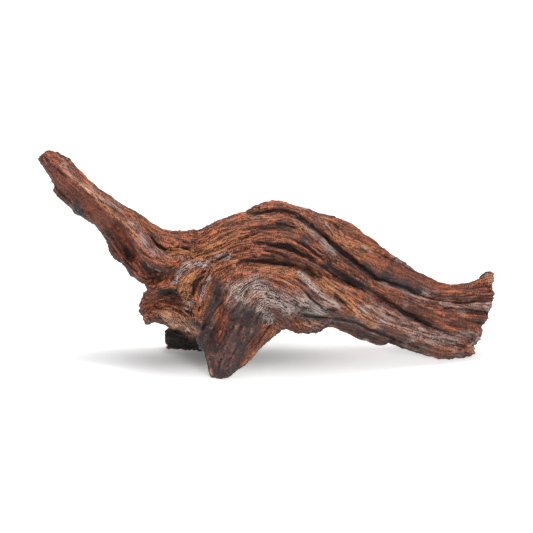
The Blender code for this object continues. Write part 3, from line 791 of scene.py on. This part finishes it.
class DRIFTWOOD_OT_skin(bpy.types.Operator):
    """Grow the skin of the whole root over its frame"""

    bl_idname = "driftwood.skin"
    bl_label = "Root skin"

    def execute(self, context):
        sizes = context.scene.driftwood_sizes
        mesh = soft_body(sizes.facet * (1))
        places, normals = points_of(mesh)
        streaks, way = drawn_along_grain(places, GrainField(places, *grain_guides(mesh)))
        away = np.array(view_axes()[3], np.float32)
        facing = normals @ away
        in_front = np.clip(-facing * 2.5 - 0.2, 0, 1)
        behind = np.clip(facing * 2.5 - 0.2, 0, 1)
        seen = columns_and_rows(places)
        calm = np.minimum(washes(seen, CALM), MOST_CALM)
        for axis, seeds in enumerate(WAVER_SEEDS):
            for seed, (size, reach) in zip(seeds, WAVERS):
                seen[:, axis] += reach * speckle(places, size * MM, seed)
        front = course_heights(seen, FRONT_COURSES) * in_front * MM
        rear = course_heights(seen, REAR_COURSES) * behind * MM
        tint = {
            name: washes(seen, courses) * in_front + patches(places, *PATCHES[name]) * (1 - in_front)
            for name, courses in WASHES.items()
        }
        patchy = speckle(places, 20 * MM, 13)
        crack = smooth_step(streaks["cracks"] + 0.6 * patchy - calm, 1.2, 2.0)
        fine = (
            sizes.grain_depth * rounded(streaks["grain"]) * (1 - 0.6 * calm)
            + sizes.fibre_depth * np.clip(streaks["fibres"], -2, 2)
        )
        swelling = speckle(places, 14 * MM, 11) + 0.5 * speckle(places, 6 * MM, 12)
        broad = (
            sizes.strand_depth * rounded(streaks["strands"]) * (1 - calm)
            + sizes.lump_depth * swelling * (1 - calm)
        )
        raised = broad + fine - sizes.crack_depth * crack
        for column, row, radius, height in SWELLINGS:
            apart = np.linalg.norm(seen - np.array((column, row), np.float32), axis=1)
            raised = raised + height * MM * np.exp(-((apart / radius) ** 2))
        moved = places + normals * raised[:, None] + away * (rear - front)[:, None]
        end = smooth_step(places[:, 0], *BROKEN_END) * smooth_step(normals[:, 0], 0.1, 0.8)
        moved[:, 0] += sizes.splinter * end * speckle(places * np.array((0.15, 1, 1)), 2.4 * MM, 18)
        moved[:, 2] = np.maximum(moved[:, 2], 0)
        mesh.vertices.foreach_set("co", moved.ravel())
        # Painted shade on the faces that look down, left off where the gold wash lies
        below = smooth_step(-normals[:, 2], -0.2, 0.7) * (1 - 0.9 * np.minimum(tint["gold_and_highlight"], 1))
        layers = {
            "fine": 0.8 * rounded(streaks["grain"]) * (1 - 0.5 * calm) + 0.3 * streaks["fibres"],
            "broad": (broad + front + rear) / MM,
            "crack": crack,
            "calm": calm,
            **tint,
            "dark_patch_and_shade": np.maximum(below, tint["dark_patch_and_shade"]),
        }
        stored(mesh, layers, way)
        mesh.update()
        mesh.shade_smooth()
        kept(linked("trunk_wood", mesh), "trunk")
        return {"FINISHED"}


def patches(places, size, strength):
    """Smooth patches of a size in millimetres, as strong as given where they lie."""
    seed = 30 + size
    values = speckle(places, size * MM, seed) + 0.5 * speckle(places, size / 3 * MM, seed + 1)
    return strength * smooth_step(values, 0.0, 0.6)


def kept(piece, node):
    """Sets a finished piece to ride on the root and hides the piece of the frame that it takes the place
    of.
    """
    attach(piece, "root")
    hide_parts(node)


def fork_block(fork):
    """The block that takes in one branch, from its fork outwards."""
    middle, along, *sides = fork
    along = Vector(along).normalized()
    depth_axis = (Vector((0, 1, 0)) - along * along.y).normalized()
    turn = Matrix((depth_axis.cross(along), depth_axis, along)).transposed().to_4x4()
    centre = (Vector(middle) + along * sides[2] / 2) * MM
    size = Matrix.Diagonal((*(side * MM for side in sides), 1))
    cube = bmesh.new()
    bmesh.ops.create_cube(cube, size=1, matrix=Matrix.Translation(centre) @ turn @ size)
    mesh = bpy.data.meshes.new("block")
    cube.to_mesh(mesh)
    cube.free()
    return linked("block", mesh)


def cut(body, block, operation):
    """The body's mesh inside the block, or what is left outside it, closed at the cut."""
    cutting = body.modifiers.new("cut", "BOOLEAN")
    cutting.solver = "MANIFOLD"
    cutting.operation = operation
    cutting.object = block
    return applied(body)


def fill_rims(mesh):
    """Gives the new points around a cut the values that their neighbours carry."""
    edges = np.empty(len(mesh.edges) * 2, np.int32)
    mesh.edges.foreach_get("vertices", edges)
    edges = edges.reshape(-1, 2)
    ends = np.concatenate((edges, edges[:, ::-1]))
    for _ in range(3):
        way = np.empty(len(mesh.vertices) * 3, np.float32)
        mesh.attributes["way"].data.foreach_get("vector", way)
        new = ~way.reshape(-1, 3).any(axis=1)
        to, source = ends[new[ends[:, 0]] & ~new[ends[:, 1]]].T
        for layer in mesh.attributes:
            if layer.name != "position" and layer.data_type in ("FLOAT", "FLOAT_VECTOR"):
                key, width = ("value", 1) if layer.data_type == "FLOAT" else ("vector", 3)
                values = np.empty(len(mesh.vertices) * width, np.float32)
                layer.data.foreach_get(key, values)
                values = values.reshape(-1, width)
                values[to] = values[source]
                layer.data.foreach_set(key, values.ravel())


def part_off(node):
    """Takes one branch off the trunk's skin at its fork, as a closed piece of its own."""
    trunk = bpy.data.objects["trunk_wood"]
    block = fork_block(FORKS[node])
    branch = linked(node + "_wood", cut(trunk, block, "INTERSECT"))
    trunk.data = cut(trunk, block, "DIFFERENCE")
    bpy.data.objects.remove(block)
    if not branch.data.polygons or not trunk.data.polygons:
        raise RuntimeError("The fork at " + node + " cuts nothing")
    for mesh in (branch.data, trunk.data):
        fill_rims(mesh)
    kept(branch, node)


class DRIFTWOOD_OT_roots(bpy.types.Operator):
    """Part the front leg and the rear root from the trunk"""

    bl_idname = "driftwood.roots"
    bl_label = "Front leg and rear root"

    def execute(self, context):
        part_off("rear_root")
        part_off("front_leg")
        return {"FINISHED"}


class DRIFTWOOD_OT_burl(bpy.types.Operator):
    """Part the burl from the trunk"""

    bl_idname = "driftwood.burl"
    bl_label = "Burl"

    def execute(self, context):
        part_off("burl")
        return {"FINISHED"}


class DRIFTWOOD_OT_arms(bpy.types.Operator):
    """Part the left limb and the flared end from the trunk"""

    bl_idname = "driftwood.arms"
    bl_label = "Left limb and flared end"

    def execute(self, context):
        part_off("left_limb")
        part_off("flared_end")
        return {"FINISHED"}


def add(tree, kind, settings=None, links=None):
    """Adds a node, sets its properties or sockets, and links outputs to its sockets."""
    node = tree.nodes.new(kind)
    for key, value in (settings or {}).items():
        if isinstance(key, str) and hasattr(node, key):
            setattr(node, key, value)
        else:
            node.inputs[key].default_value = value
    for key, output in (links or {}).items():
        tree.links.new(output, node.inputs[key])
    return node


def math_node(tree, operation, first, second):
    """A calculation with two values, each a number or an output."""
    node = tree.nodes.new("ShaderNodeMath")
    node.operation = operation
    for socket, value in zip(node.inputs, (first, second)):
        if isinstance(value, (int, float)):
            socket.default_value = value
        else:
            tree.links.new(value, socket)
    return node.outputs["Value"]


def attribute(tree, name):
    """The value that the skin's points carry under a name."""
    return add(tree, "ShaderNodeAttribute", {"attribute_name": name}).outputs["Fac"]


def spread(tree, value, low, high, bottom=0.0, top=1.0):
    """Maps a value from one range to another and keeps it there."""
    node = add(
        tree,
        "ShaderNodeMapRange",
        {"interpolation_type": "SMOOTHSTEP", 1: low, 2: high, 3: bottom, 4: top},
        {"Value": value},
    )
    return node.outputs["Result"]


def blended(tree, share, under, over):
    """Two colours mixed, each a colour value or an output."""
    node = tree.nodes.new("ShaderNodeMix")
    node.data_type = "RGBA"
    sockets = {"Factor": node.inputs[0], "A": node.inputs[6], "B": node.inputs[7]}
    for name, value in (("Factor", share), ("A", under), ("B", over)):
        if isinstance(value, bpy.types.NodeSocket):
            tree.links.new(value, sockets[name])
        else:
            sockets[name].default_value = value
    return node.outputs[2]


def noise(tree, place, cell, detail=4.0, roughness=0.6):
    """Random values with a pattern of cells of a real size, from 0 to 1."""
    node = add(
        tree,
        "ShaderNodeTexNoise",
        {"Scale": 1 / (cell * MM), "Detail": detail, "Roughness": roughness},
        {"Vector": place},
    )
    return node.outputs["Fac"]


def hairs(tree, place, width):
    """Fine lines along the grain, from -1 to 1: random values averaged over some steps along it."""
    way = add(tree, "ShaderNodeAttribute", {"attribute_name": "way"}).outputs["Vector"]
    total = 0.0
    for step in range(-4, 5):
        settings = {"operation": "MULTIPLY_ADD", 1: (step * 1.5 * width * MM,) * 3}
        at = add(tree, "ShaderNodeVectorMath", settings, {0: way, 2: place})
        total = math_node(tree, "ADD", noise(tree, at.outputs["Vector"], width, 1.0, 0.5), total)
    return spread(tree, total, 4.3, 4.65, -1.0, 0.8)


def root_wood(colours):
    """Root wood worn by water: fine grain from dark grooves to orange crests, under a dull satin skin, with
    painted shade and painted highlights in its colours.
    """
    material = bpy.data.materials.new("weathered_root_wood")
    material.use_nodes = True
    tree = material.node_tree
    shader = tree.nodes["Principled BSDF"]
    place = add(tree, "ShaderNodeTexCoord").outputs["Object"]
    broad = attribute(tree, "broad")
    blotches = noise(tree, place, 14, 5.0)
    blotch_step = spread(tree, blotches, 0.3, 0.7, -0.3, 0.3)
    evenness = spread(tree, attribute(tree, "calm"), 0.0, 0.8, 1.0, 0.4)
    lines = math_node(tree, "MULTIPLY", hairs(tree, place, 1.05), evenness)
    specks = noise(tree, place, 1.5, 4.0, 0.7)
    flecks = math_node(tree, "ADD", spread(tree, specks, 0.3, 0.7, -0.5, 0.5), lines)
    gaps = math_node(tree, "ADD", spread(tree, specks, 0.35, 0.65, -0.45, 0.35), lines)
    height = math_node(tree, "ADD", attribute(tree, "fine"), flecks)
    height = math_node(tree, "ADD", height, blotch_step)
    worn_height = spread(tree, height, -0.8, 0.5)
    crest_height = math_node(tree, "ADD", height, math_node(tree, "MULTIPLY", broad, 0.25))

    def patch(name, low, high, top):
        """How strongly a colour lies in its wash, fading from the crests to the grooves."""
        share = spread(tree, height, low, high, 0.0, top)
        return math_node(tree, "MULTIPLY", attribute(tree, name), share)

    def blotched(name):
        """A wash's strength, with its edge broken up by the blotches."""
        return math_node(tree, "ADD", attribute(tree, name), blotch_step)

    mottle = spread(tree, noise(tree, place, 4.0, 6.0, 0.85), 0.52, 0.58, 0.95, 0.15)
    char_and_shade_share = math_node(tree, "MULTIPLY", spread(tree, blotched("char"), 0.1, 0.7), mottle)
    grey_and_sheen_share = spread(tree, blotched("grey_and_sheen"), 0.1, 1.1, 0.0, 0.8)
    coats = (
        (spread(tree, height, -1.35, -0.25), colours.heart),
        (spread(tree, crest_height, -0.1, 1.15), colours.crest),
        # Painted highlight on the bright fine lines of the grain
        (spread(tree, gaps, 0.3, 1.0, 0.0, 0.55), colours.fibre_highlight),
        # Painted shade on the undersides and shaded flanks, and the random dark patches at the back
        (spread(tree, attribute(tree, "dark_patch_and_shade"), 0.0, 1.0, 0.0, 0.8), colours.dark_patch_and_shade),
        (patch("red", -1.0, 0.4, 0.5), colours.red),
        # Golden wood, with painted highlight on the limb's ridge and painted light on the chin
        (patch("gold_and_highlight", -0.7, 0.9, 0.75), colours.gold_and_highlight),
        # Mottled char; where its wash lies in shaded places it is painted shade
        (char_and_shade_share, colours.char),
        # Painted shade: near black where the char wash is strongest, mostly the rear root, which stands in
        # shade
        (spread(tree, attribute(tree, "char"), 1.15, 1.8, 0.0, 0.9), colours.crevice_shade),
        # Weathered grey on the crests, partly painted sheen
        (math_node(tree, "MULTIPLY", grey_and_sheen_share, worn_height), colours.grey_and_sheen),
        (spread(tree, attribute(tree, "pale"), 0.2, 0.8, 0.0, 0.6), colours.pale),
        # Painted shade in the broad furrows, the deeper ones darker
        (spread(tree, broad, -0.7, -2.6, 0.0, 0.92), colours.crevice_shade),
        # Dark hairlines along the grain: partly the grain's own colour, partly painted shade in its grooves
        (spread(tree, gaps, 0.0, -1.0, 0.0, 0.85), colours.crevice_shade),
        # Painted shade in the drying cracks
        (spread(tree, attribute(tree, "crack"), 0.05, 0.6, 0.0, 0.95), colours.crevice_shade),
    )
    # Where the grain lies lowest this colour stays: painted shade in its grooves
    base = colours.crevice_shade
    for share, tone in coats:
        base = blended(tree, share, base, tone)
    tree.links.new(base, shader.inputs["Base Color"])
    worn = math_node(tree, "SUBTRACT", 0.56, math_node(tree, "MULTIPLY", worn_height, 0.2))
    tree.links.new(worn, shader.inputs["Roughness"])
    shader.inputs["IOR"].default_value = 1.45
    bump = add(tree, "ShaderNodeBump", {"Strength": 1.0, "Distance": 0.4 * MM}, {"Height": flecks})
    tree.links.new(bump.outputs["Normal"], shader.inputs["Normal"])
    return material


def thinned(piece):
    """Thins a piece's faces where it is flattest, down to what one piece may have."""
    piece.data.calc_loop_triangles()
    share = MOST_TRIANGLES / len(piece.data.loop_triangles)
    if share < 1:
        thin = piece.modifiers.new("thin", "DECIMATE")
        thin.ratio = share
        piece.data = applied(piece)


class DRIFTWOOD_OT_finish(bpy.types.Operator):
    """Thin the pieces that are too fine and give all of them their weathered wood"""

    bl_idname = "driftwood.finish"
    bl_label = "Weathered wood"

    def execute(self, context):
        wood = root_wood(context.scene.driftwood_colours)
        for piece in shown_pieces():
            thinned(piece)
            piece.data.materials.clear()
            piece.data.materials.append(wood)
        return {"FINISHED"}


# The floor's glow grows from one distance to another, and from one strength to another. Near the wood it is
# painted light that stays dim close to it, a painted shadow.
PAINTED_GLOW_NEAR = (5 * MM, 58 * MM, 0.1, 0.62)
FAR_GLOW = (300 * MM, 1500 * MM, 0.0, 0.6)


def pale_floor(colours):
    """A matt white floor. Away from the wood it glows with painted light, more still far off; close to the
    wood it stays dim, a painted shadow.
    """
    material = bpy.data.materials.new("pale_floor")
    material.use_nodes = True
    tree = material.node_tree
    shader = tree.nodes["Principled BSDF"]
    shader.inputs["Base Color"].default_value = colours.floor
    shader.inputs["Roughness"].default_value = 0.9
    shader.inputs["Emission Color"].default_value = colours.floor
    place = add(tree, "ShaderNodeTexCoord").outputs["Object"]
    # The painted shadow follows the wood's long, narrow shadow, so distance counts less along it
    narrow = {"operation": "MULTIPLY_ADD", 1: (0.3, 1, 1), 2: (18 * MM, -18 * MM, 0)}
    beside = add(tree, "ShaderNodeVectorMath", narrow, {0: place}).outputs["Vector"]
    near = add(tree, "ShaderNodeVectorMath", {"operation": "LENGTH"}, {0: beside}).outputs["Value"]
    far = add(tree, "ShaderNodeVectorMath", {"operation": "LENGTH"}, {0: place}).outputs["Value"]
    painted_glow_near = spread(tree, near, *PAINTED_GLOW_NEAR)
    far_glow = spread(tree, far, *FAR_GLOW)
    glow = math_node(tree, "ADD", painted_glow_near, far_glow)
    tree.links.new(glow, shader.inputs["Emission Strength"])
    return material


# The floor, the backdrop's ring around it and the world's light
FLOOR_REACH = 15
RING_RADIUS = 14
RING_HEIGHT = 1.4
RING_MIDDLE = 0.6
WORLD_STRENGTH = 0.2

# A lamp is (place, aim, width, depth) in metres and its power in watts
LAMPS = {
    "overhead": ((0.05, -0.02, 0.85), (0, 0, 0.05), 0.8, 0.6, 4.8),
    "key": ((0.08, -0.1, 0.85), (0, 0, 0.05), 0.2, 0.16, 6),
    "front": ((0.3, -0.95, 0.4), (0, 0, 0.07), 0.35, 0.25, 6),
    "fill": ((-0.5, -0.75, 0.16), (-0.08, 0, 0.05), 0.2, 0.2, 1.3),
}


def soft_box(name, place, aim, width, depth, power):
    """A soft lamp that faces a point."""
    lamp = bpy.data.lights.new(name, "AREA")
    lamp.shape = "RECTANGLE"
    lamp.size = width
    lamp.size_y = depth
    lamp.energy = power
    obj = bpy.data.objects.new(name, lamp)
    obj.location = place
    obj.rotation_mode = "QUATERNION"
    obj.rotation_quaternion = (Vector(aim) - Vector(place)).to_track_quat("-Z", "Y")
    bpy.context.scene.collection.objects.link(obj)


def painted(name, form, material):
    """A mesh of a finished form, in one material."""
    mesh = bpy.data.meshes.new(name)
    form.to_mesh(mesh)
    form.free()
    mesh.materials.append(material)
    return mesh


class DRIFTWOOD_OT_stage(bpy.types.Operator):
    """Set the pale floor, the soft light and the camera"""

    bl_idname = "driftwood.stage"
    bl_label = "Stage"

    def execute(self, context):
        white = pale_floor(context.scene.driftwood_colours)
        plane = bmesh.new()
        bmesh.ops.create_grid(plane, x_segments=1, y_segments=1, size=FLOOR_REACH)
        linked("floor", painted("floor", plane, white))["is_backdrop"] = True
        ring = bmesh.new()
        bmesh.ops.create_cone(
            ring, segments=64, radius1=RING_RADIUS, radius2=RING_RADIUS, depth=RING_HEIGHT
        )
        bmesh.ops.translate(ring, verts=ring.verts, vec=(0, 0, RING_MIDDLE))
        linked("backdrop", painted("backdrop", ring, white))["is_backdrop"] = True
        world = bpy.data.worlds.new("studio")
        world.use_nodes = True
        background = world.node_tree.nodes["Background"]
        background.inputs["Color"].default_value = (1, 1, 1, 1)
        background.inputs["Strength"].default_value = WORLD_STRENGTH
        context.scene.world = world
        for name, lamp in LAMPS.items():
            soft_box(name, *lamp)
        context.scene.view_settings.view_transform = "Standard"
        camera_data = bpy.data.cameras.new("camera")
        camera_data.lens = VIEW_LENS
        camera_data.sensor_width = VIEW_SENSOR
        camera = bpy.data.objects.new("camera", camera_data)
        eye, _, _, away = view_axes()
        camera.location = eye
        camera.rotation_mode = "QUATERNION"
        camera.rotation_quaternion = away.to_track_quat("-Z", "Y")
        context.scene.collection.objects.link(camera)
        context.scene.camera = camera
        return {"FINISHED"}


STEPS = (
    DRIFTWOOD_OT_skin,
    DRIFTWOOD_OT_roots,
    DRIFTWOOD_OT_burl,
    DRIFTWOOD_OT_arms,
    DRIFTWOOD_OT_finish,
    DRIFTWOOD_OT_stage,
)


class DRIFTWOOD_PT_panel(bpy.types.Panel):
    """Lists the driftwood's sizes, its colours and its steps"""

    bl_label = "Driftwood"
    bl_space_type = "VIEW_3D"
    bl_region_type = "UI"
    bl_category = "Driftwood"

    def draw(self, context):
        for group in (context.scene.driftwood_sizes, context.scene.driftwood_colours):
            for name in group.bl_rna.properties.keys():
                if name not in ("rna_type", "name"):
                    self.layout.prop(group, name)
        for operator in STEPS:
            self.layout.operator(operator.bl_idname)


CLASSES = (DriftwoodSizes, DriftwoodColours, *STEPS, DRIFTWOOD_PT_panel)


def register():
    """Registers the classes, the sizes and the colours."""
    for one in CLASSES:
        bpy.utils.register_class(one)
    bpy.types.Scene.driftwood_sizes = bpy.props.PointerProperty(type=DriftwoodSizes)
    bpy.types.Scene.driftwood_colours = bpy.props.PointerProperty(type=DriftwoodColours)


def unregister():
    """Takes the classes, the sizes and the colours off again."""
    del bpy.types.Scene.driftwood_colours
    del bpy.types.Scene.driftwood_sizes
    for one in reversed(CLASSES):
        bpy.utils.unregister_class(one)


def main():
    """Makes the whole driftwood and its stage."""
    register()
    bpy.ops.driftwood.skin()
    bpy.ops.driftwood.roots()
    bpy.ops.driftwood.burl()
    bpy.ops.driftwood.arms()
    bpy.ops.driftwood.finish()
    bpy.ops.driftwood.stage()


if __name__ == "__main__":
    main()
